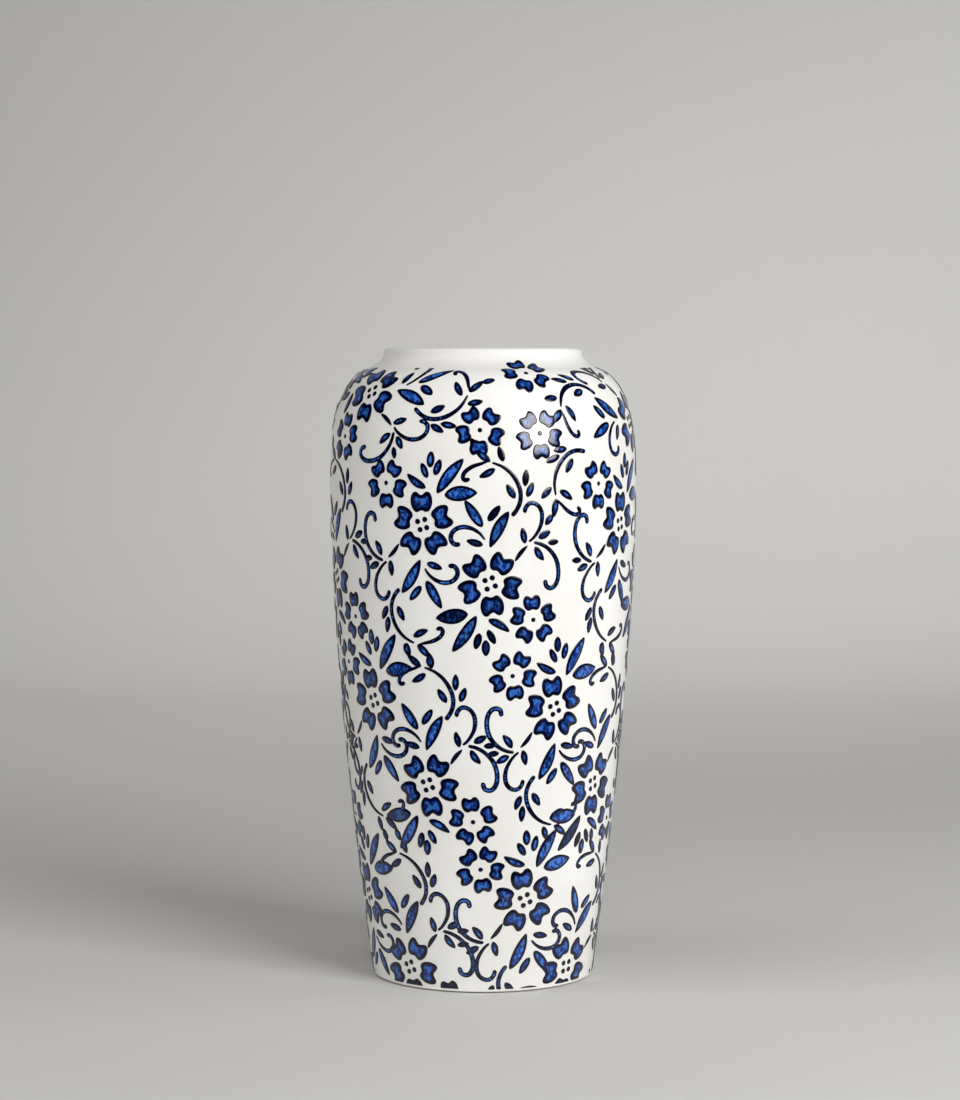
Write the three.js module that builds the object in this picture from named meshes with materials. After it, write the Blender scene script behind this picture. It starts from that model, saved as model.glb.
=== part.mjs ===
// A tall shouldered ceramic vase with a low rolled collar, as the fired clay vessel and the coats of glaze on it.
//
// The clay is one fired piece: wall, floor and foot ring. The white glaze lies on it as three coats that never
// touch each other's edges: one dipped over the outside, one poured inside, and one brushed into the recess of
// the foot. Only the foot ring is bare. Millimetres, +Z up, origin at the centre of the ring that it stands on.
import * as THREE from "three";

// Driving dimensions of the finished vase.
const HEIGHT = 300;
const FOOT_RADIUS = 52.6;
const BELLY_RADIUS = 72.9;
const BELLY_HEIGHT = 230;
const WALL_THICKNESS = 5.5;
const FLOOR_HEIGHT = 9.5;

// The wall below the belly leaves the foot as a cone and curves upright: 1 would keep it a cone.
const WALL_BEND = 1.58;

// The shoulder is a quarter of a superellipse from the belly in to the neck: 2 would make it an ellipse.
const SHOULDER_SQUARENESS = 3.15;
const SHOULDER_INSET = 34.8;
const SHOULDER_RISE = 62.5;

// The collar stands on the shoulder and ends in a round lip.
const COLLAR_FOOT = 290.6;
const COLLAR_RADIUS = 47.2;
const LIP_RADIUS = 2.4;
const LIP_CENTRE = new THREE.Vector2(COLLAR_RADIUS - LIP_RADIUS, HEIGHT - LIP_RADIUS);

// The foot ring, its recess, and how far up its outside the clay is bare.
const FOOT_RING_WIDTH = 7;
const FOOT_EDGE = 1.2;
const RECESS_DEPTH = 3;
const BARE_HEIGHT = 1.6;

const FLOOR_CORNER = 14;

// A coat of glaze, and the hairline left between a coat and the clay under it.
const GLAZE_THICKNESS = 0.8;
const HAIRLINE = 0.3;
const CLAY_DEPTH = GLAZE_THICKNESS + HAIRLINE;

// How finely the solids are cut into flats.
const SIDES = 40;
const WALL_STEPS = 6;
const SHOULDER_STEPS = 6;
const BEND_STEPS = 3;

// ---- The finished surface, as half outlines of (radius, height) ----

function shoulderRadius(height) {
  const rise = (height - BELLY_HEIGHT) / SHOULDER_RISE;
  const bulge = (1 - rise ** SHOULDER_SQUARENESS) ** (1 / SHOULDER_SQUARENESS);
  return BELLY_RADIUS - SHOULDER_INSET * (1 - bulge);
}

function wallRadius(height) {
  if (height > BELLY_HEIGHT) return shoulderRadius(height);
  const drop = 1 - height / BELLY_HEIGHT;
  return BELLY_RADIUS - (BELLY_RADIUS - FOOT_RADIUS) * drop ** WALL_BEND;
}

// Points on the outside of the wall, between two heights, closer together where the shoulder turns.
function wallPoints(low, high) {
  const heights = [];
  for (let i = 0; i <= WALL_STEPS; i++) heights.push(THREE.MathUtils.lerp(low, BELLY_HEIGHT, i / WALL_STEPS));
  for (let i = 1; i <= SHOULDER_STEPS; i++) {
    const turn = (Math.PI / 2) * (i / SHOULDER_STEPS);
    heights.push(THREE.MathUtils.lerp(BELLY_HEIGHT, high, Math.sin(turn)));
  }
  return heights.map((height) => new THREE.Vector2(wallRadius(height), height));
}

function arcPoints(centre, radius, fromDegrees, toDegrees, steps) {
  const points = [];
  for (let i = 0; i <= steps; i++) {
    const angle = THREE.MathUtils.degToRad(THREE.MathUtils.lerp(fromDegrees, toDegrees, i / steps));
    points.push(new THREE.Vector2(centre.x + radius * Math.cos(angle), centre.y + radius * Math.sin(angle)));
  }
  return points;
}

function bendPoints(start, corner, end) {
  return new THREE.QuadraticBezierCurve(start, corner, end).getPoints(BEND_STEPS);
}

// An outline moved sideways, to its left as it is walked, which is into the clay for both skins. Its two ends
// move along their own given headings, in degrees, so that a cut end stays square to the skin.
function inset(points, depth, firstHeading, lastHeading) {
  return points.map((point, i) => {
    let heading;
    if (i === 0) heading = THREE.MathUtils.degToRad(firstHeading);
    else if (i === points.length - 1) heading = THREE.MathUtils.degToRad(lastHeading);
    else heading = points[i + 1].clone().sub(points[i - 1]).angle();
    return new THREE.Vector2(point.x - depth * Math.sin(heading), point.y + depth * Math.cos(heading));
  });
}

// From the bare foot up the outside and over to the top of the lip.
function outerSkin() {
  const wall = wallPoints(BARE_HEIGHT, COLLAR_FOOT);
  const collar = bendPoints(
    wall.at(-1),
    new THREE.Vector2(COLLAR_RADIUS + 0.2, COLLAR_FOOT + 3.5),
    new THREE.Vector2(COLLAR_RADIUS, LIP_CENTRE.y),
  );
  const lip = arcPoints(LIP_CENTRE, LIP_RADIUS, 0, 90, BEND_STEPS);
  return [...wall, ...collar.slice(1), ...lip.slice(1)];
}

// From the top of the lip down the inside to the middle of the floor.
function innerSkin() {
  const meeting = THREE.MathUtils.radToDeg(HAIRLINE / LIP_RADIUS);
  const lip = arcPoints(LIP_CENTRE, LIP_RADIUS, 90 + meeting, 180, BEND_STEPS);
  const cornerTop = FLOOR_HEIGHT + FLOOR_CORNER;
  const wall = inset(wallPoints(cornerTop, COLLAR_FOOT - 1), WALL_THICKNESS, 90, 153).reverse();
  const neckTop = new THREE.Vector2(LIP_CENTRE.x - LIP_RADIUS, LIP_CENTRE.y);
  const neck = bendPoints(neckTop, new THREE.Vector2(neckTop.x + 0.6, COLLAR_FOOT - WALL_THICKNESS), wall[0]);
  const side = wall.at(-1);
  const corner = bendPoints(
    side,
    new THREE.Vector2(side.x - 1, FLOOR_HEIGHT),
    new THREE.Vector2(side.x - FLOOR_CORNER, FLOOR_HEIGHT),
  );
  const middle = new THREE.Vector2(0, FLOOR_HEIGHT);
  return [...lip, ...neck.slice(1, -1), ...wall, ...corner.slice(1), middle];
}

// ---- Solids ----

// Turns a half outline about the vase's axis.
function turned(outline) {
  return new THREE.LatheGeometry(outline, SIDES).rotateX(Math.PI / 2);
}

function clayBody() {
  const outside = inset(outerSkin(), CLAY_DEPTH, 90, 180);
  const inside = inset(innerSkin(), CLAY_DEPTH, 180, 180);
  inside.at(-1).x = 0;
  const edge = outside[0].x;
  const ringInside = edge - FOOT_RING_WIDTH;
  const foot = [
    new THREE.Vector2(0, RECESS_DEPTH),
    new THREE.Vector2(ringInside - RECESS_DEPTH, RECESS_DEPTH),
    new THREE.Vector2(ringInside, 0),
    new THREE.Vector2(edge - FOOT_EDGE, 0),
    new THREE.Vector2(edge - 0.3 * FOOT_EDGE, 0.3 * FOOT_EDGE),
  ];
  return turned([...foot, ...outside, ...inside]);
}

function outerGlaze() {
  const skin = outerSkin();
  const back = inset(skin, GLAZE_THICKNESS, 90, 180).reverse();
  return turned([...skin, ...back, skin[0]]);
}

function innerGlaze() {
  const skin = innerSkin();
  const back = inset(skin, GLAZE_THICKNESS, 180, 180).reverse();
  back[0].x = 0;
  return turned([...back, ...skin]);
}

function footGlaze() {
  const top = RECESS_DEPTH - HAIRLINE;
  const bottom = top - GLAZE_THICKNESS;
  const rim = FOOT_RADIUS - CLAY_DEPTH - FOOT_RING_WIDTH - RECESS_DEPTH - 2 * HAIRLINE;
  return turned([
    new THREE.Vector2(0, bottom),
    new THREE.Vector2(rim, bottom),
    new THREE.Vector2(rim, top),
    new THREE.Vector2(0, top),
  ]);
}

const clay = new THREE.MeshStandardMaterial({ color: 0xcdb796, roughness: 0.85, metalness: 0 });
const whiteGlaze = new THREE.MeshStandardMaterial({ color: 0xf1f0ea, roughness: 0.12, metalness: 0 });

function named(name, geometry, material) {
  const mesh = new THREE.Mesh(geometry, material);
  mesh.name = name;
  return mesh;
}

const vase = new THREE.Group();
vase.add(named("clay_body", clayBody(), clay));
vase.add(named("outer_glaze", outerGlaze(), whiteGlaze));
vase.add(named("inner_glaze", innerGlaze(), whiteGlaze));
vase.add(named("foot_glaze", footGlaze(), whiteGlaze));

export default vase;
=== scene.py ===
"""A tall blue and white vase: glazed ceramic, with a raised cobalt pattern of flowers, leaves and tendrils.

The vessel is turned from the same few dimensions as the CAD. The pattern is one spray of motifs, laid out flat in
millimetres, that is placed again and again round the vase. Each motif becomes a low closed relief on the glaze.
Angles round the vase are in degrees: 0 faces the camera and positive ones go to its right.
"""
import math
import random

import bpy
import numpy as np
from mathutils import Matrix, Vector
from mathutils.geometry import delaunay_2d_cdt


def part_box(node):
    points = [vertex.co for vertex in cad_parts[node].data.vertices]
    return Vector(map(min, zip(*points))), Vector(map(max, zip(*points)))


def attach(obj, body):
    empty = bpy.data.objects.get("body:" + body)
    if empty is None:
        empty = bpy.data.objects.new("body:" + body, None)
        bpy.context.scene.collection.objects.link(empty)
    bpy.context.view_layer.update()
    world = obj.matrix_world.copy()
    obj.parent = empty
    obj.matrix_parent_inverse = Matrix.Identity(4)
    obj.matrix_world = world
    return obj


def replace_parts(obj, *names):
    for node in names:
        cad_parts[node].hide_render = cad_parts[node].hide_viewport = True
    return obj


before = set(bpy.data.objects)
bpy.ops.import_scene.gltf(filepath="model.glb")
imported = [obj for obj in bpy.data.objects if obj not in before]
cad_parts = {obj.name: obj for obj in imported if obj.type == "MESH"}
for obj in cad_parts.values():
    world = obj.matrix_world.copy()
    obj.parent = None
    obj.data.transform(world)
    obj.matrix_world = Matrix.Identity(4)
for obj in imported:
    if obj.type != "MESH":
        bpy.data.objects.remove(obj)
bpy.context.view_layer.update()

MM = 0.001

# ---- The vessel's dimensions, in millimetres, as in the CAD ----

RIM_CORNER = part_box("outer_glaze")[1]
HEIGHT = RIM_CORNER.z / MM
BELLY_RADIUS = RIM_CORNER.x / MM
FOOT_RADIUS = 52.6
BELLY_HEIGHT = 230.0
WALL_THICKNESS = 5.5
FLOOR_HEIGHT = 9.5
WALL_BEND = 1.58
SHOULDER_SQUARENESS = 3.15
SHOULDER_INSET = 34.8
SHOULDER_RISE = 62.5
COLLAR_FOOT = 290.6
COLLAR_RADIUS = 47.2
LIP_RADIUS = 2.4
FOOT_RING_WIDTH = 7.0
FOOT_EDGE = 1.2
RECESS_DEPTH = 3.0
GLAZE_LOW = 1.6
FLOOR_CORNER = 14.0
GLAZE_THICKNESS = 0.8

# How far the clay reaches into its glaze, and how far inside the finished foot the bare ring is.
GLAZE_BITE = 0.1
RING_INSET = 0.9

# How finely the vessel is turned: round it, up its wall, over its shoulder and along each small bend.
VESSEL_SIDES = 240
WALL_STEPS = 70
SHOULDER_STEPS = 36
BEND_STEPS = 14
EDGE_STEPS = 8

# The pattern stops just above the bare foot and where the collar rises, and single blossoms a little higher.
PATTERN_LOW = 1.7
PATTERN_HIGH = 290.8
BLOSSOM_HIGH = 296.0

# ---- Colours, as linear RGB ----

WHITE_GLAZE = (0.80, 0.795, 0.775)
WARM_GLAZE = (0.765, 0.75, 0.72)
CLAY = (0.60, 0.50, 0.37)
DARK_CLAY = (0.36, 0.28, 0.19)
INK = (0.0004, 0.0006, 0.006)
NAVY = (0.0015, 0.0035, 0.032)
COBALT = (0.003, 0.016, 0.120)
ROYAL = (0.005, 0.036, 0.215)
SKY = (0.038, 0.165, 0.580)
STUDIO_GREY = (0.62, 0.614, 0.602)


# ---- The vessel's outlines, as lists of (radius, height) ----

def wall_radius(height):
    """The finished outside radius at a height, or at an array of heights, below the collar."""
    height = np.asarray(height, float)
    drop = np.clip(1 - height / BELLY_HEIGHT, 0, 1)
    rise = np.clip((height - BELLY_HEIGHT) / SHOULDER_RISE, 0, 1)
    bulge = (1 - rise ** SHOULDER_SQUARENESS) ** (1 / SHOULDER_SQUARENESS)
    below = BELLY_RADIUS - (BELLY_RADIUS - FOOT_RADIUS) * drop ** WALL_BEND
    above = BELLY_RADIUS - SHOULDER_INSET * (1 - bulge)
    return np.where(height > BELLY_HEIGHT, above, below)


def wall_outline(low, high, steps=WALL_STEPS, shoulder_steps=SHOULDER_STEPS):
    """The outside of the wall between two heights, closer together where the shoulder turns."""
    below = np.linspace(low, BELLY_HEIGHT, steps)
    turn = np.linspace(0, math.pi / 2, shoulder_steps + 1)[1:]
    heights = np.concatenate([below, BELLY_HEIGHT + (high - BELLY_HEIGHT) * np.sin(turn)])
    return np.column_stack([wall_radius(heights), heights])


def bend_outline(start, corner, end, steps=BEND_STEPS):
    """A quadratic bend from start to end, pulled towards corner, without its first point."""
    t = np.linspace(0, 1, steps + 1)[1:, None]
    start, corner, end = (np.array(p, float) for p in (start, corner, end))
    return (1 - t) ** 2 * start + 2 * t * (1 - t) * corner + t ** 2 * end


def arc_outline(centre, radius, first, last, steps=BEND_STEPS):
    """Part of a circle, between two angles in degrees."""
    angles = np.radians(np.linspace(first, last, steps + 1))
    return np.column_stack([centre[0] + radius * np.cos(angles), centre[1] + radius * np.sin(angles)])


def inset(points, depth):
    """An outline moved to its left as it is walked, which is into the clay for both skins."""
    along = np.gradient(points, axis=0)
    along /= np.linalg.norm(along, axis=1)[:, None]
    return points + depth * np.column_stack([-along[:, 1], along[:, 0]])


LIP_CENTRE = (COLLAR_RADIUS - LIP_RADIUS, HEIGHT - LIP_RADIUS)


def outer_skin(steps=WALL_STEPS, shoulder_steps=SHOULDER_STEPS):
    """From the foot up the outside and over to the top of the lip."""
    wall = wall_outline(GLAZE_LOW, COLLAR_FOOT, steps, shoulder_steps)
    collar = bend_outline(wall[-1], (COLLAR_RADIUS + 0.2, COLLAR_FOOT + 3.5), (COLLAR_RADIUS, LIP_CENTRE[1]))
    lip = arc_outline(LIP_CENTRE, LIP_RADIUS, 0, 90)
    return np.vstack([wall, collar, lip[1:]])


def inner_skin():
    """From the top of the lip down the inside to the middle of the floor."""
    lip = arc_outline(LIP_CENTRE, LIP_RADIUS, 90, 180)
    wall = inset(wall_outline(FLOOR_HEIGHT + FLOOR_CORNER, COLLAR_FOOT - 1), WALL_THICKNESS)[::-1]
    neck_top = lip[-1]
    neck = bend_outline(neck_top, (neck_top[0] + 0.6, COLLAR_FOOT - WALL_THICKNESS), wall[0])
    side = wall[-1]
    corner = bend_outline(side, (side[0] - 1, FLOOR_HEIGHT), (side[0] - FLOOR_CORNER, FLOOR_HEIGHT))
    return np.vstack([lip, neck[:-1], wall, corner, [(0, FLOOR_HEIGHT)]])


def foot_outline(edge):
    """From the axis under the floor, over the foot ring, to its outside edge at a radius."""
    ring_inside = edge - FOOT_RING_WIDTH
    recess = (ring_inside - RECESS_DEPTH, RECESS_DEPTH)
    ring = bend_outline(recess, (ring_inside - 1, RECESS_DEPTH - 0.5), (ring_inside, 0.3), EDGE_STEPS)
    flat = [(ring_inside + 0.3, 0), (edge - FOOT_EDGE, 0)]
    edge_turn = bend_outline(flat[-1], (edge - 0.2, 0), (edge, FOOT_EDGE), EDGE_STEPS)
    return np.vstack([[(0, RECESS_DEPTH), recess], ring, flat, edge_turn])


# ---- The finished surface ----

# The wall is true at its foot and its rim, and strays from round fully this far from them.
WAVE_FADE = 25
# The skin's outline, fine enough to measure along.
SKIN_STEPS = (1400, 700)


def waviness(angle, height):
    """How far a cast wall strays from round, in millimetres."""
    fade = np.clip(height / WAVE_FADE, 0, 1) * np.clip((HEIGHT - height) / WAVE_FADE, 0, 1)
    lobes = 0.11 * np.sin(2 * angle + 1.1 + height / 95) + 0.07 * np.sin(3 * angle - height / 52)
    ripples = 0.03 * np.sin(7 * angle + height / 23) + 0.025 * np.sin(height / 11 + 2 * angle)
    return fade * (lobes + ripples)


SKIN = outer_skin(*SKIN_STEPS)
SKIN_RADII, SKIN_HEIGHTS = SKIN.T
SKIN_RUNS = np.concatenate([[0], np.cumsum(np.hypot(np.diff(SKIN_HEIGHTS), np.diff(SKIN_RADII)))])
SKIN_LEAN = np.gradient(SKIN_RADII, SKIN_RUNS)
SKIN_RISE = np.gradient(SKIN_HEIGHTS, SKIN_RUNS)


def run_at(height):
    """The distance up the wall's skin from the foot to a height."""
    return float(np.interp(height, SKIN_HEIGHTS, SKIN_RUNS))


def on_skin(angle, run, lift):
    """Points on the outside of the wall, in metres: at angles, at distances up the skin, lifted off it."""
    height = np.interp(run, SKIN_RUNS, SKIN_HEIGHTS)
    radius = np.interp(run, SKIN_RUNS, SKIN_RADII)
    lean = np.interp(run, SKIN_RUNS, SKIN_LEAN)
    rise = np.interp(run, SKIN_RUNS, SKIN_RISE)
    radius = radius + waviness(angle, height) + lift * rise
    height = height - lift * lean
    return MM * np.column_stack([radius * np.sin(angle), -radius * np.cos(angle), height])


# ---- Motifs, as closed flat outlines in millimetres ----

def spline(points, spacing=0.45):
    """A smooth line through points, as points about as far apart as spacing."""
    points = np.array(points, float)
    padded = np.vstack([2 * points[0] - points[1], points, 2 * points[-1] - points[-2]])
    line = []
    for before, start, end, after in zip(padded, padded[1:], padded[2:], padded[3:]):
        steps = max(2, round(float(np.linalg.norm(end - start)) / spacing))
        t = (np.arange(steps) / steps)[:, None]
        line.append(0.5 * (2 * start + (end - before) * t
                           + (2 * before - 5 * start + 4 * end - after) * t ** 2
                           + (3 * start - before - 3 * end + after) * t ** 3))
    return np.vstack([*line, points[-1:]])


def petal(width, length, spread):
    """A petal about its own middle, pointing up, with a notch at each end. Spread moves its outer lobes apart."""
    half = spline([
        (0, -0.365), (0.06, -0.375), (0.14, -0.43), (0.225, -0.485), (0.335, -0.425), (0.435, -0.28), (0.495, -0.08),
        (0.5, 0.12), (0.455 + 0.01 * spread, 0.31 - 0.02 * spread), (0.37 + 0.025 * spread, 0.43 - 0.035 * spread),
        (0.265 + 0.055 * spread, 0.465 - 0.06 * spread), (0.16 + 0.03 * spread, 0.38 - 0.06 * spread),
        (0.07 + 0.01 * spread, 0.28 - 0.05 * spread), (0, 0.25 - 0.045 * spread),
    ], 0.03)
    mirrored = half[-2:0:-1] * (-1, 1)
    return np.vstack([half, mirrored]) * (width, length)


def dot(centre, radius):
    """A round spot."""
    angles = np.radians(np.arange(0, 360, 24))
    return np.array(centre) + radius * np.column_stack([np.cos(angles), np.sin(angles)])


def leaf(base, tip, width, lean=0.0, base_round=0.7, tip_round=0.85):
    """A leaf from base to tip. Lean bows it to its left, as a part of its length; 0.5 rounds an end, 1 points it."""
    base, tip = np.array(base, float), np.array(tip, float)
    along = tip - base
    across = np.array([-along[1], along[0]]) / np.linalg.norm(along)
    t = (0.5 - 0.5 * np.cos(np.linspace(0, math.pi, 21)))[:, None]
    swell = t ** base_round * (1 - t) ** tip_round
    spine = base + t * along + lean * np.linalg.norm(along) * np.sin(math.pi * t) * across
    left = spine + across * width / 2 * swell / swell.max()
    right = spine - across * width / 2 * swell / swell.max()
    return np.vstack([right, left[-2:0:-1]])


def bud(base, tip, width):
    """A small leaf that is round at both ends."""
    return leaf(base, tip, width, 0.0, 0.55, 0.65)


def tendril(points, width, start=0.45):
    """A line that grows from a thin start to its full width and ends round."""
    spine = spline(points, 0.7)
    along = np.gradient(spine, axis=0)
    along /= np.linalg.norm(along, axis=1)[:, None]
    across = np.column_stack([-along[:, 1], along[:, 0]])
    t = np.linspace(0, 1, len(spine))
    half = width / 2 * (start + (1 - start) * np.clip(t / 0.45, 0, 1) ** 0.8)[:, None]
    turns = np.radians(np.arange(30, 180, 30))[:, None]
    end_cap = spine[-1] + half[-1] * (-np.cos(turns) * across[-1] + np.sin(turns) * along[-1])
    start_cap = spine[0] + half[0] * (np.cos(turns) * across[0] - np.sin(turns) * along[0])
    return np.vstack([spine - across * half, end_cap, (spine + across * half)[::-1], start_cap])


def turned(points, degrees):
    """Points turned anticlockwise about the origin."""
    angle = math.radians(degrees)
    cos, sin = math.cos(angle), math.sin(angle)
    return np.asarray(points) @ np.array([[cos, sin], [-sin, cos]])


def flower(centre, first, reach, width, length, spreads):
    """Five petals round a centre, the first in the direction first, in degrees."""
    petals = []
    for i, spread in enumerate(spreads):
        direction = first + 72 * i
        shape = petal(width, length, spread) + (0, reach)
        petals.append(turned(shape, direction - 90) + np.array(centre))
    return petals


# ---- The spray that the pattern repeats: (kind, outline) pairs, upright, about its large flower's centre ----

SMALL_FLOWER = (-19.3, 18.7)
VINE_JOINT = (-5.3, -55.0)


def large_flower():
    """The flower with four eyes, which the spray is placed by."""
    petals = flower((-0.2, -0.1), 92, 10.5, 10.2, 9.7, (0, 1, 0.8, 1, 0.8))
    eyes = [dot(p, 1.08) for p in ((-2.3, 1.4), (1.2, 2.4), (2.1, -1.4), (-1.3, -2.4))]
    return [("large_petals", p) for p in petals] + [("flower_eyes", e) for e in eyes]


def small_flower():
    """The flower with one eye, above and to the left of the large one."""
    petals = flower(SMALL_FLOWER, 55, 8.15, 8.0, 7.3, (1, 0.9, 0.9, 0, 0.9))
    return [("small_petals", p) for p in petals] + [("flower_eyes", dot(SMALL_FLOWER, 0.9))]


def upper_leaves():
    """The leaves above and to the right of the large flower."""
    return [("leaves", shape) for shape in (
        leaf((1.5, 16.7), (-7.7, 22.9), 3.5, 0.05, 0.6, 0.8),
        bud((2.4, 21.5), (-0.4, 28.0), 3.0),
        bud((3.7, 26.2), (4.2, 33.3), 3.5),
        bud((6.1, 22.7), (8.5, 29.7), 3.3),
        leaf((7.2, 14.6), (19.3, 30.4), 5.3, 0.025, 0.75, 0.8),
        leaf((10.9, 13.4), (25.8, 14.6), 6.7, 0.015, 0.7, 0.85),
    )]


def lower_leaves():
    """The leaves and the curl under the large flower."""
    curl = tendril([(0.9, -20.4), (2.5, -22.8), (5, -24.9), (7.5, -26.1), (10.2, -26.6), (12.8, -26.2), (14.8, -25),
                    (16, -23.2), (16.2, -21.3), (15.6, -19.8), (14.4, -18.8), (13, -18.8)], 2.0, 0.4)
    return [("tendrils", curl)] + [("leaves", shape) for shape in (
        leaf((-10.9, -32.0), (-1.2, -16.2), 5.1, -0.03, 0.8, 0.9),
        bud((-1.1, -28.5), (-6.8, -35.0), 3.3),
        leaf((1.6, -26.1), (8.6, -38.6), 4.5, 0, 0.6, 0.8),
        leaf((2.0, -17.7), (9.3, -20.2), 3.0, 0, 0.65, 0.85),
    )]


def fork():
    """The two tendrils that part at the spray's lower left."""
    upper = tendril([(-22.4, -16.9), (-25, -16.0), (-28, -14.1), (-30.7, -11.2), (-32.5, -7.8), (-33.2, -4),
                     (-33, -0.5), (-32, 2.4), (-30.2, 4.3), (-28.3, 4.6), (-26.6, 3.6), (-26.2, 1.6)], 2.1, 0.65)
    lower = tendril([(-19.7, -17.8), (-21.5, -19), (-23.7, -21.4), (-25.5, -24.3), (-26.4, -27.5), (-26.4, -30.5),
                     (-25.4, -33), (-23.6, -34.6), (-21.5, -35.1), (-19.7, -34.2), (-18.6, -32.7),
                     (-18.4, -31.8)], 1.9, 0.5)
    return [("tendrils", upper), ("tendrils", lower)] + [("leaves", shape) for shape in (
        leaf((-18.6, -15.8), (-12.2, -9.1), 1.7, -0.05, 0.9, 0.9),
        leaf((-22.4, -15.1), (-26.2, -8.5), 3.1, -0.05),
        leaf((-17.5, -17.0), (-16.6, -24.3), 2.9),
        leaf((-24.4, -18.5), (-30.5, -21.1), 3.1),
        leaf((-28.7, -16.4), (-34.2, -16.5), 2.5),
    )]


def vine():
    """The stem below the spray, with the curl and the leaves where it ends."""
    stem = tendril([(-5.6, -54.7), (-7.5, -53.9), (-10.3, -52.4), (-13.1, -49.9), (-15.3, -46.8), (-16.7, -43.5),
                    (-17.3, -40.5), (-17.2, -37.5), (-16.3, -34.7), (-14.8, -32.3), (-13.2, -30.6)], 1.9, 0.4)
    curl = tendril([(-3.2, -55.6), (0, -54.6), (3, -53.9), (5.5, -52.9), (7.7, -51.4), (8.8, -49.7), (8.8, -48.3),
                    (7.9, -47.5), (6.7, -47.8)], 1.8, 0.4)
    return [("tendrils", stem), ("tendrils", curl)] + [("leaves", shape) for shape in (
        leaf((-20.0, -38.2), (-23.2, -44.5), 3.0),
        leaf((-19.2, -43.2), (-20.3, -50.7), 2.9),
        leaf((-14.2, -38.0), (-10.8, -44.6), 3.1),
        leaf((-5.7, -51.9), (1.7, -48.5), 3.0, 0.03),
        leaf((-9.7, -55.0), (-8.1, -61.9), 2.9),
        leaf((-3.7, -55.4), (2.6, -61.2), 3.1),
        leaf((1.6, -60.9), (3.5, -66.5), 3.0),
    )]


HEAD = upper_leaves() + large_flower() + small_flower() + lower_leaves() + fork()
VINE = vine()
SPRAY = HEAD + VINE
BLOSSOM = small_flower()

# Where each goes: the degrees round and the height of its centre, the turn it is given, and its shade, where
# below zero is darker. The centre of a spray, or of a head, is its large flower, and the vine's is where it joins
# the next one. The one head has its vine placed apart, because the photograph squeezes that spray sideways.
SPRAYS = [
    (-22.3, 219.7, 0, 0), (61.9, 218, -2, 0.2), (152, 220, 3, 0.1), (-110, 221, -2, -0.2),
    (2.4, 193.1, 184, -0.7), (87, 193, 177, 0), (181, 195, 182, -0.4), (-73.4, 192.7, 183, -0.3),
    (-48, 136.5, 6, -0.1), (29.3, 134.3, 7, 0.15), (103, 137, 2, 0), (173, 134, -3, 0.2), (-119, 136, 3, -0.1),
    (-23.2, 98.9, 185, -0.1), (53, 96.6, 179, -0.45), (127, 99, 184, -0.3), (199, 97, 180, 0), (-93, 98, 178, 0.1),
    (-68.1, 41.3, 4, 0), (19.7, 44.4, 9, 0.2), (108, 45, 3, -0.1), (198, 44, 0, 0.2),
    (-39.2, 10.3, 186, 0), (46.4, 9.6, 169, 0.1), (137, 10, 180, 0), (228, 10.7, 184, -0.2),
    (76.3, 265.4, -93, 0), (160, 277, 95, 0), (-124, 278, 98, 0.1),
]
HEADS = [(-51, 279.8, 98.5, -0.2)]
VINES = [(27, 232.8, -57, 0), (-152, 226, -57, 0), (-5.8, 278.6, 88, -0.1)]
# The blossom at 21.1 degrees and 261.1 mm lies in the key light's gloss. Its shade of 0.4 keeps it from darkening, a
# painted highlight.
BLOSSOMS = [
    (-1.1, 262.8, -5, 0), (21.1, 261.1, 3, 0.4), (19.7, 288.5, -20, 0), (120, 262.5, 0, 0), (-139.5, 186, 6, 0),
    (117.5, 238.5, -8, 0.1), (122, 181, 4, 0),
]


# ---- Relief: each motif as a low closed solid ----

# In millimetres: how deep a motif's flat bottom is in the glaze, how high its rounded edge stands and over what
# width it rises, and the same for its crown.
SUNK = 0.12
EDGE_HEIGHT = 0.17
EDGE_RUN = 0.28
CROWN_HEIGHT = 0.17
CROWN_RUN = 0.8

# How much wider the brush left each kind than it was drawn, and how often a petal's outline is smoothed.
BRUSH_SPREAD = {"large_petals": 0.42, "small_petals": 0.4, "flower_eyes": 0.33, "leaves": 0.3, "tendrils": 0.2}
PETAL_SOFTENING = 3

# How far apart a motif's points are, along its outline and inside it, how much closer the rows inside it are than
# the points of a row, and how deep the rings near its edge lie.
OUTLINE_SPACING = 0.58
INNER_SPACING = 0.78
ROW_SPACING = 0.866
RING_DEPTHS = (0.14, 0.3, 0.6)

# A cut motif's parts smaller than this many millimetres, or square millimetres, are left out.
SMALLEST_PART = 0.6

# How far each motif strays from its drawing: in millimetres, in degrees and in tone.
SHIFT_JITTER = 0.08
TILT_JITTER = 0.3
TONE_JITTER = 0.8


def signed_area(outline):
    """An outline's area, above zero where it runs anticlockwise."""
    x, y = outline.T
    return (np.dot(x, np.roll(y, -1)) - np.dot(y, np.roll(x, -1))) / 2


def even_outline(outline):
    """A closed outline, anticlockwise, with its points evenly spaced."""
    if signed_area(outline) < 0:
        outline = outline[::-1]
    closed = np.vstack([outline, outline[:1]])
    runs = np.concatenate([[0], np.cumsum(np.linalg.norm(np.diff(closed, axis=0), axis=1))])
    stops = np.linspace(0, runs[-1], max(10, round(runs[-1] / OUTLINE_SPACING)), endpoint=False)
    return np.column_stack([np.interp(stops, runs, closed[:, i]) for i in (0, 1)])


def swelled(outline, width):
    """An anticlockwise outline made wider all round, which rounds its corners."""
    along = np.roll(outline, -1, axis=0) - np.roll(outline, 1, axis=0)
    outward = np.column_stack([along[:, 1], -along[:, 0]]) / np.linalg.norm(along, axis=1)[:, None]
    return outline + width * outward


def edge_distance(points, outline):
    """How far each point is from an outline."""
    along = np.roll(outline, -1, axis=0) - outline
    offset = points[:, None] - outline[None]
    t = np.clip((offset * along).sum(2) / (along ** 2).sum(1), 0, 1)
    return np.linalg.norm(offset - t[..., None] * along, axis=2).min(axis=1)


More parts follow.
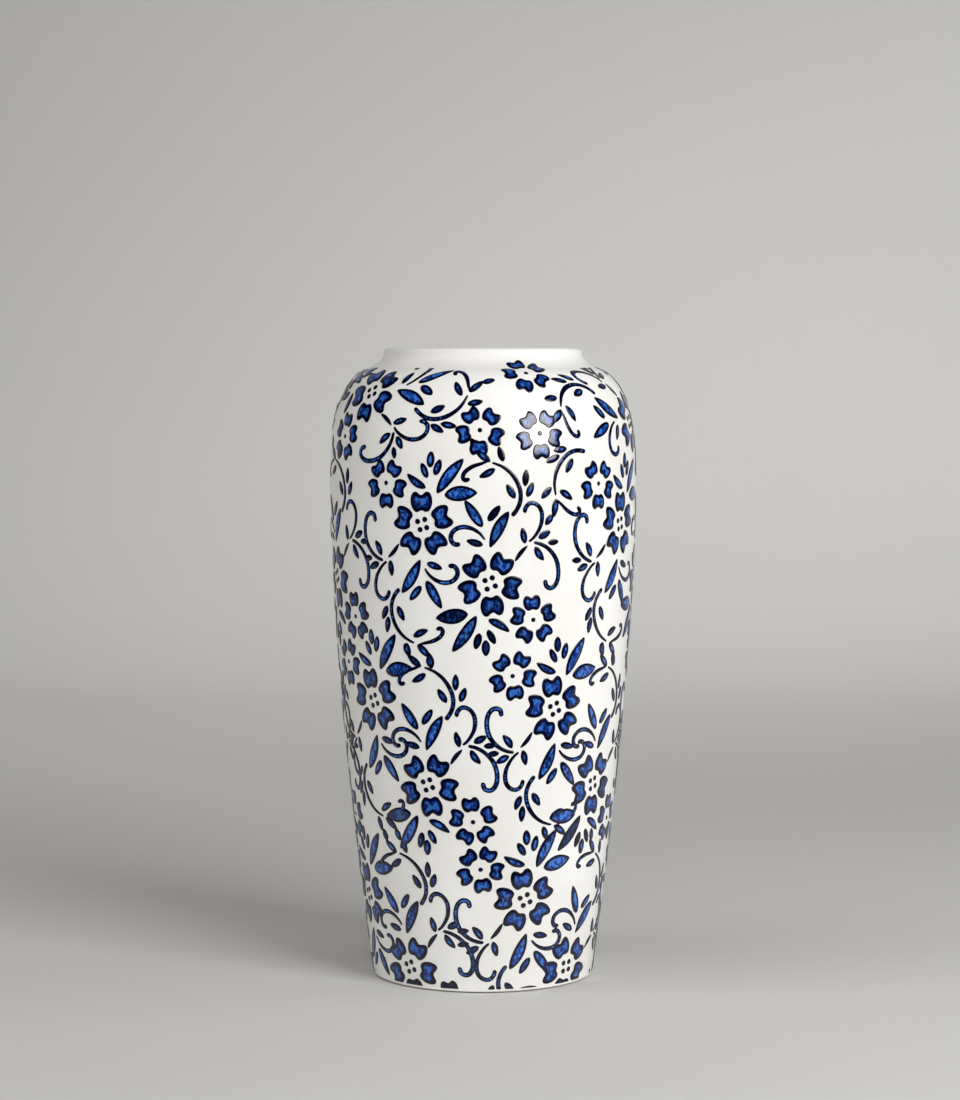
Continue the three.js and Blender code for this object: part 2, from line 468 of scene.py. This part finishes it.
def is_inside(points, outline):
    """Whether each point is inside an outline."""
    x, y = points[:, 0, None], points[:, 1, None]
    x0, y0 = outline.T
    x1, y1 = np.roll(outline, -1, axis=0).T
    crosses = (y0 > y) != (y1 > y)
    rise = np.where(crosses, y1 - y0, 1)
    return (crosses & (x < x0 + (y - y0) * (x1 - x0) / rise)).sum(axis=1) % 2 == 1


def fill_points(outline):
    """Points inside an outline: rings near its edge, where the relief curves, then an even grid."""
    along = np.roll(outline, -1, axis=0) - np.roll(outline, 1, axis=0)
    inward = np.column_stack([-along[:, 1], along[:, 0]]) / np.linalg.norm(along, axis=1)[:, None]
    rings = []
    for depth in RING_DEPTHS:
        ring = outline + depth * inward
        clear = is_inside(ring, outline) & (edge_distance(ring, outline) > 0.93 * depth)
        rings.append(ring[clear])
    low, high = outline.min(axis=0), outline.max(axis=0)
    grid = []
    for row, y in enumerate(np.arange(low[1], high[1], INNER_SPACING * ROW_SPACING)):
        x = np.arange(low[0] + row % 2 * INNER_SPACING / 2, high[0], INNER_SPACING)
        grid.append(np.column_stack([x, np.full(len(x), y)]))
    grid = np.vstack(grid)
    grid = grid[is_inside(grid, outline)]
    if len(grid):
        grid = grid[edge_distance(grid, outline) > RING_DEPTHS[-1] + INNER_SPACING / 2]
    return np.vstack([*rings, grid])


def triangles(outline, inner):
    """The triangles that fill an outline, with these points inside it used too."""
    points = [Vector(p) for p in np.vstack([outline, inner])]
    result = delaunay_2d_cdt(points, [], [list(range(len(outline)))], 1, 1e-6)
    source = [sources[0] for sources in result[3]]
    return np.array([[source[corner] for corner in face] for face in result[2]])


def relief(outline):
    """A crowned top on a flat bottom, as (flat points, depth from the edge, lift off the glaze, triangles)."""
    outline = even_outline(outline)
    inner = fill_points(outline)
    top = triangles(outline, inner)
    bottom = triangles(outline, np.empty((0, 2)))[:, ::-1]
    depth = np.concatenate([np.zeros(len(outline)), edge_distance(inner, outline)])
    shoulder = np.sin(np.clip(depth / EDGE_RUN, 0, 1) * math.pi / 2)
    lift = (SUNK + EDGE_HEIGHT) * shoulder - SUNK + CROWN_HEIGHT * (1 - np.exp(-depth / CROWN_RUN))
    return np.vstack([outline, inner]), depth, lift, np.vstack([top, bottom])


def kept_parts(outline, limit, side):
    """The parts of an outline on one side of a level line: above it for side 1, below it for side -1."""
    outline = even_outline(outline)
    keep = side * (outline[:, 1] - limit) > 0
    if keep.all():
        return [outline]
    if not keep.any():
        return []
    start = int(np.argmin(keep))
    outline, keep = np.roll(outline, -start, axis=0), np.roll(keep, -start)
    parts = []
    for i in range(1, len(outline) + 1):
        before, point = outline[i - 1], outline[i % len(outline)]
        starts, ends = keep[i % len(outline)], keep[i - 1]
        if starts != ends:
            crossing = before + (point - before) * (limit - before[1]) / (point[1] - before[1])
            if starts:
                parts.append([])
            parts[-1].append(crossing)
        if starts:
            parts[-1].append(point)
    parts = [np.array(part) for part in parts]
    if any(signed_area(part) < 0 for part in parts):
        parts = [np.vstack(parts)]
    return [part for part in parts if min(*np.ptp(part, axis=0), signed_area(part)) > SMALLEST_PART]


class ReliefMesh:
    """All the motifs of one kind, gathered into one mesh."""

    def __init__(self):
        self.points, self.depths, self.tones, self.faces = [], [], [], []
        self.count = 0

    def add(self, points, depth, faces, tone):
        """Adds one motif, with each point's depth from its edge."""
        self.points.append(points)
        self.depths.append(depth)
        self.tones.append(np.full(len(points), tone))
        self.faces.append(faces + self.count)
        self.count += len(points)

    def build(self, name):
        """The object, with each point's depth and tone as attributes for the glaze."""
        obj = mesh_object(name, np.vstack(self.points), np.vstack(self.faces).tolist())
        for attribute, values in (("edge_mm", self.depths), ("tone", self.tones)):
            layer = obj.data.attributes.new(attribute, "FLOAT", "POINT")
            layer.data.foreach_set("value", np.concatenate(values).astype(np.float32))
        return obj


def mesh_object(name, points, faces):
    """A smooth shaded object in the scene, from points in metres."""
    mesh = bpy.data.meshes.new(name)
    mesh.from_pydata(points.tolist(), [], faces)
    mesh.polygons.foreach_set("use_smooth", [True] * len(mesh.polygons))
    mesh.update()
    obj = bpy.data.objects.new(name, mesh)
    bpy.context.scene.collection.objects.link(obj)
    return obj


def carved(motifs, centre):
    """A group of motifs about its centre, with the relief of each, made once."""
    finished = []
    for kind, outline in motifs:
        outline = even_outline(outline - centre)
        for _ in range(PETAL_SOFTENING if "petals" in kind else 0):
            outline = (np.roll(outline, 1, axis=0) + 2 * outline + np.roll(outline, -1, axis=0)) / 4
        outline = swelled(outline, BRUSH_SPREAD[kind])
        finished.append((kind, outline, relief(outline)))
    return finished


def place_motifs(motifs, degrees, height, turn, shade, top, meshes, rng):
    """Puts a group of carved motifs on the wall, cut off near the foot and at the height top."""
    middle = run_at(height)
    low, high = run_at(PATTERN_LOW) - middle, run_at(top) - middle
    for kind, outline, (flat, *solid) in motifs:
        shift = np.array([rng.gauss(0, SHIFT_JITTER), rng.gauss(0, SHIFT_JITTER)])
        tilt = turn + rng.gauss(0, TILT_JITTER)
        tone = shade + rng.uniform(-TONE_JITTER, TONE_JITTER)
        laid = turned(outline, tilt) + shift
        if laid[:, 1].min() > low and laid[:, 1].max() < high:
            solids = [(turned(flat, tilt) + shift, *solid)]
        else:
            uppers = kept_parts(laid, low, 1)
            solids = [relief(part) for upper in uppers for part in kept_parts(upper, high, -1)]
        for spots, depth, lift, faces in solids:
            run = middle + spots[:, 1]
            radius = np.interp(run, SKIN_RUNS, SKIN_RADII)
            points = on_skin(math.radians(degrees) + spots[:, 0] / radius, run, lift)
            meshes[kind].add(points, depth, faces, tone)


# A point nearer the axis than this, in millimetres, is on it, and the wall's waviness fades inside the other radius.
ON_AXIS = 1e-6
WAVE_RADIUS = 45


def revolve(name, outline):
    """A closed solid turned from an outline walked with the solid on its left.

    Its ends close on each other or on the axis.
    """
    angles = np.linspace(0, 2 * math.pi, VESSEL_SIDES, endpoint=False)
    points, rings = [], []
    for radius, height in outline:
        if radius < ON_AXIS:
            rings.append([len(points)] * VESSEL_SIDES)
            points.append((0, 0, height))
            continue
        around = radius + waviness(angles, height) * min(1, radius / WAVE_RADIUS)
        rings.append(range(len(points), len(points) + VESSEL_SIDES))
        points += zip(around * np.sin(angles), -around * np.cos(angles), np.full(VESSEL_SIDES, height))
    faces = []
    pairs = list(zip(rings, rings[1:]))
    if outline[0][0] > ON_AXIS:
        pairs.append((rings[-1], rings[0]))
    for lower, upper in pairs:
        for i in range(VESSEL_SIDES):
            j = (i + 1) % VESSEL_SIDES
            faces.append(tuple(dict.fromkeys((lower[i], lower[j], upper[j], upper[i]))))
    return mesh_object(name, MM * np.array(points), faces)


# ---- The vessel: clay, and a coat of glaze outside, inside and under the foot ----

def glaze_outside():
    """The outside coat, which rounds off just above the table."""
    skin = outer_skin()
    edge = bend_outline((skin[0][0] - GLAZE_THICKNESS, 0.6), (skin[0][0] - 0.05, 0.4), skin[0], EDGE_STEPS)
    back = inset(skin, GLAZE_THICKNESS)[::-1]
    return np.vstack([edge, skin[1:], back])


def glaze_inside():
    """The poured coat, from the lip to the middle of the floor."""
    skin = inner_skin()
    back = inset(skin, GLAZE_THICKNESS)[::-1]
    back[0] = (0, FLOOR_HEIGHT - GLAZE_THICKNESS)
    return np.vstack([skin, back])


def glaze_underfoot():
    """The disc of glaze in the foot ring's recess, with a round edge."""
    rim = FOOT_RADIUS - FOOT_RING_WIDTH - RECESS_DEPTH - RING_INSET
    edge = arc_outline((rim - 0.45, RECESS_DEPTH - 0.3), 0.45, -90, 90, EDGE_STEPS)
    return np.vstack([[(0, RECESS_DEPTH - 0.75)], edge, [(0, RECESS_DEPTH + 0.15)]])


def clay_vessel():
    """The fired clay: foot ring, wall and floor, a little into its glazes."""
    outside = inset(outer_skin(), GLAZE_THICKNESS - GLAZE_BITE)
    inside = inset(inner_skin(), GLAZE_THICKNESS - GLAZE_BITE)
    inside[-1] = (0, FLOOR_HEIGHT - GLAZE_THICKNESS + GLAZE_BITE)
    return np.vstack([foot_outline(FOOT_RADIUS - RING_INSET), outside, inside])


# ---- Materials ----

class Finish:
    """A material's node tree, with short calls that add nodes and join them."""

    def __init__(self, name):
        self.material = bpy.data.materials.new(name)
        self.material.use_nodes = True
        self.tree = self.material.node_tree
        self.shader = self.tree.nodes["Principled BSDF"]
        self.where = self.tree.nodes.new("ShaderNodeTexCoord").outputs["Object"]

    def join(self, source, socket):
        """Links a socket to a source, or sets it to a plain value."""
        if isinstance(source, bpy.types.NodeSocket):
            self.tree.links.new(source, socket)
        else:
            socket.default_value = source

    def noise(self, size, detail=3.0, roughness=0.5, stretch=(1, 1, 1)):
        """Noise whose patches are about size millimetres across."""
        scaled = self.tree.nodes.new("ShaderNodeMapping")
        scaled.inputs["Scale"].default_value = [1 / (size * MM * s) for s in stretch]
        node = self.tree.nodes.new("ShaderNodeTexNoise")
        node.inputs["Scale"].default_value = 1
        node.inputs["Detail"].default_value = detail
        node.inputs["Roughness"].default_value = roughness
        self.join(self.where, scaled.inputs["Vector"])
        self.join(scaled.outputs["Vector"], node.inputs["Vector"])
        return node.outputs["Fac"]

    def math(self, operation, first, second=0.0, third=0.0, clamp=False):
        node = self.tree.nodes.new("ShaderNodeMath")
        node.operation = operation
        node.use_clamp = clamp
        for source, socket in zip((first, second, third), node.inputs):
            self.join(source, socket)
        return node.outputs["Value"]

    def ramp(self, value, stops):
        """The colour at value along a row of (position, colour) stops."""
        node = self.tree.nodes.new("ShaderNodeValToRGB")
        elements = node.color_ramp.elements
        while len(elements) < len(stops):
            elements.new(0.5)
        for element, (position, colour) in zip(elements, stops):
            element.position = position
            element.color = (*colour, 1)
        self.join(value, node.inputs["Fac"])
        return node.outputs["Color"]

    def spread(self, value, low, high, new_low=0.0, new_high=1.0):
        """Eases from new_low to new_high as the value goes from low to high."""
        node = self.tree.nodes.new("ShaderNodeMapRange")
        node.interpolation_type = "SMOOTHSTEP"
        for source, socket in zip((value, low, high, new_low, new_high), node.inputs):
            self.join(source, socket)
        return node.outputs["Result"]

    def mix(self, share, first, second):
        """The share of the second colour laid over the first."""
        node = self.tree.nodes.new("ShaderNodeMix")
        node.data_type = "RGBA"
        self.join(share, node.inputs["Factor"])
        for source, socket in zip((first, second), [s for s in node.inputs if s.type == "RGBA"]):
            self.join((*source, 1) if isinstance(source, tuple) else source, socket)
        return next(s for s in node.outputs if s.type == "RGBA")

    def attribute(self, name):
        node = self.tree.nodes.new("ShaderNodeAttribute")
        node.attribute_name = name
        return node.outputs["Fac"]

    def bump(self, height, distance):
        """Bumps about distance millimetres high."""
        node = self.tree.nodes.new("ShaderNodeBump")
        node.inputs["Strength"].default_value = 1
        node.inputs["Distance"].default_value = distance * MM
        self.join(height, node.inputs["Height"])
        self.join(node.outputs["Normal"], self.shader.inputs["Normal"])

    def set(self, **inputs):
        """Gives the shader its inputs, and returns the finished material."""
        for name, source in inputs.items():
            self.join(source, self.shader.inputs[name.replace("_", " ")])
        return self.material


def white_glaze():
    finish = Finish("white_glaze")
    cloud = finish.noise(45, 2)
    speck = finish.noise(2.6, 2)
    tone = finish.mix(finish.spread(cloud, 0.35, 0.7), WHITE_GLAZE, WARM_GLAZE)
    finish.bump(finish.noise(3.5, 2), 0.02)
    rough = finish.math("MULTIPLY_ADD", speck, 0.06, 0.09)
    return finish.set(Base_Color=tone, Roughness=rough, IOR=1.52)


def bare_clay():
    finish = Finish("clay")
    grain = finish.noise(0.9, 5, 0.65)
    tone = finish.mix(finish.spread(grain, 0.35, 0.75), CLAY, DARK_CLAY)
    finish.bump(grain, 0.12)
    return finish.set(Base_Color=tone, Roughness=0.85, IOR=1.5)


def cobalt_glaze(name, middle, ink, reach, streak_and_highlight_share, darkest):
    """Blue that pools nearly black along each edge, and is paler and mottled inside.

    The edge is ink for ink millimetres and the middle colour is reached at reach millimetres. Paler marks, partly
    the cobalt's own uneven wash and partly painted highlight, cover up to the share streak_and_highlight_share of
    the middle, and a motif whose tone is down at darkest is nearly ink all through.
    """
    finish = Finish(name)
    mottle = finish.noise(1.6, 4, 0.6)
    wander = finish.math("MULTIPLY", finish.math("SUBTRACT", mottle, 0.5), 0.6 * reach)
    filled = finish.math("DIVIDE", finish.math("ADD", wander, finish.attribute("edge_mm")), reach, clamp=True)
    edge = ink / reach
    stops = [(0.0, INK), (edge, INK), (0.75 * edge + 0.25, NAVY), (0.45 * edge + 0.55, COBALT), (1.0, middle)]
    tone = finish.attribute("tone")
    patches = finish.math("MULTIPLY_ADD", tone, -0.04, finish.noise(2.8, 3, 0.55))
    blotched = finish.mix(finish.spread(patches, 0.47, 0.58, 0.0, 0.85), finish.ramp(filled, stops), NAVY)
    # Paler marks of SKY in each motif's middle: partly the cobalt's own uneven wash, partly painted highlight.
    lights = finish.noise(2.2, 3, 0.55, (0.8, 0.8, 1.2))
    streak_and_highlight_mask = finish.math("MULTIPLY", finish.spread(lights, 0.46, 0.58, 0.0, streak_and_highlight_share), finish.spread(filled, 0.7, 1.0))
    streaked_and_highlighted = finish.mix(streak_and_highlight_mask, blotched, SKY)
    dark = finish.spread(tone, -0.4, darkest, 0.0, 0.95)
    finish.bump(finish.noise(1.2, 3), 0.03)
    rough = finish.math("MULTIPLY_ADD", mottle, 0.1, 0.08)
    return finish.set(Base_Color=finish.mix(dark, streaked_and_highlighted, INK), Roughness=rough, IOR=1.55)


WHITE = white_glaze()


def finish_piece(obj, material):
    """Gives a piece its material and slot, and rides it on the vase."""
    obj.data.materials.append(material)
    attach(obj, "root")
    return obj


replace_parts(finish_piece(revolve("clay_vessel", clay_vessel()), bare_clay()), "clay_body")
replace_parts(finish_piece(revolve("outside_glaze", glaze_outside()), WHITE), "outer_glaze")
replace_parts(finish_piece(revolve("inside_glaze", glaze_inside()), WHITE), "inner_glaze")
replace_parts(finish_piece(revolve("underfoot_glaze", glaze_underfoot()), WHITE), "foot_glaze")

# ---- The pattern ----

rng = random.Random(7)
KINDS = {
    "large_petals": cobalt_glaze("cobalt_large_petals", ROYAL, 1.45, 2.25, 0.75, -2.4),
    "small_petals": cobalt_glaze("cobalt_small_petals", ROYAL, 1.25, 1.95, 0.8, -2.4),
    "flower_eyes": cobalt_glaze("cobalt_flower_eyes", ROYAL, 0.95, 1.35, 0.2, -2.4),
    "leaves": cobalt_glaze("cobalt_leaves", ROYAL, 1.0, 1.6, 1.0, -1.3),
    # The tendrils' pale SKY middle is partly the thin cobalt along each line and partly a painted highlight on its
    # crest.
    "tendrils": cobalt_glaze("cobalt_tendrils", SKY, 0.66, 0.98, 0.3, -1.8),
}
meshes = {kind: ReliefMesh() for kind in KINDS}
for motifs, centre, top, places in (
    (SPRAY, (0, 0), PATTERN_HIGH, SPRAYS),
    (HEAD, (0, 0), PATTERN_HIGH, HEADS),
    (VINE, VINE_JOINT, PATTERN_HIGH, VINES),
    (BLOSSOM, SMALL_FLOWER, BLOSSOM_HIGH, BLOSSOMS),
):
    group = carved(motifs, centre)
    for degrees, height, turn, shade in places:
        place_motifs(group, degrees, height, turn, shade, top, meshes, rng)
for kind, material in KINDS.items():
    finish_piece(meshes[kind].build(kind), material)


# ---- The studio ----

def area_light(name, spot, aim, size, watts, mirrored=True):
    """A softbox. One that isn't mirrored lights the vase without showing in its gloss."""
    light = bpy.data.lights.new(name, "AREA")
    light.shape = "RECTANGLE"
    light.size, light.size_y = size
    light.energy = watts
    obj = bpy.data.objects.new(name, light)
    obj.location = spot
    obj.rotation_euler = (Vector(aim) - Vector(spot)).to_track_quat("-Z", "Y").to_euler()
    obj.visible_glossy = mirrored
    bpy.context.scene.collection.objects.link(obj)


def backdrop():
    """A pale sheet that lies under the vase and curves up behind it."""
    front, back, bend, top, half_width = -3.0, 1.1, 0.7, 3.2, 3.5
    turn = [(back + bend * math.sin(a), bend * (1 - math.cos(a))) for a in np.linspace(0, math.pi / 2, 25)]
    side_view = [(front, 0.0), *turn, (back + bend, top)]
    points = np.array([(x, y, z) for y, z in side_view for x in (-half_width, half_width)])
    faces = [(2 * i, 2 * i + 1, 2 * i + 3, 2 * i + 2) for i in range(len(side_view) - 1)]
    sheet = mesh_object("backdrop", points, faces)
    finish = Finish("backdrop")
    grain = finish.noise(400, 2)
    shade = tuple(c * 0.97 for c in STUDIO_GREY)
    sheet.data.materials.append(finish.set(Base_Color=finish.mix(grain, STUDIO_GREY, shade), Roughness=0.9))


def dark_flag():
    """A black cloth on the floor in front, seen only in the gloss, which keeps the dark blues dark."""
    x, near, far, rise = 2.5, -0.16, -2.9, 0.002
    points = np.array([(-x, far, rise), (x, far, rise), (x, near, rise), (-x, near, rise)])
    flag = mesh_object("dark_flag", points, [(0, 1, 2, 3)])
    flag.visible_camera = flag.visible_diffuse = flag.visible_shadow = False
    finish = Finish("dark_flag")
    weave = finish.noise(6, 2)
    flag.data.materials.append(finish.set(Base_Color=finish.mix(weave, INK, NAVY), Roughness=1.0))


backdrop()
dark_flag()
area_light("key", (0.86, -1.02, 0.66), (0, 0, 0.2), (0.74, 0.66), 13.5)
area_light("window", (1.1, -1.5, 1.5), (0, 0, 0.15), (1.5, 1.3), 12.8, mirrored=False)
area_light("left_card", (-1.45, -0.5, 0.4), (0, 0, 0.2), (0.8, 1.0), 6.5, mirrored=False)
area_light("front", (0, -2.4, 1.0), (0, 0, 0.15), (0.8, 0.8), 8, mirrored=False)
area_light("right_card", (1.5, 0.1, 0.6), (0, 0, 0.2), (0.8, 0.9), 4, mirrored=False)
area_light("top", (-0.6, -0.4, 1.6), (0, 0, 0.2), (1.0, 1.0), 4, mirrored=False)
area_light("wash", (0.6, 0.8, 1.5), (0.25, 1.5, 0.25), (1.8, 0.6), 2.9, mirrored=False)
bpy.data.lights["wash"].spread = 1.3
world = bpy.data.worlds.new("studio")
world.use_nodes = True
world.node_tree.nodes["Background"].inputs["Color"].default_value = (1.0, 0.95, 0.87, 1)
world.node_tree.nodes["Background"].inputs["Strength"].default_value = 0.13
world.cycles_visibility.glossy = False

scene = bpy.context.scene
scene.world = world
scene.view_settings.view_transform = "Standard"

# The photograph's view: 1.43 m away, level with the rim and tipped down, fitted to the vase's outline in it.
CAMERA_PITCH = 3.852
camera = bpy.data.cameras.new("camera")
camera.sensor_width = 36
camera.lens = 98.18
camera_object = bpy.data.objects.new("camera", camera)
camera_object.location = (-0.0014, -1.4333, 0.300)
camera_object.rotation_euler = (math.radians(90 - CAMERA_PITCH), 0, 0)
scene.collection.objects.link(camera_object)
scene.camera = camera_object
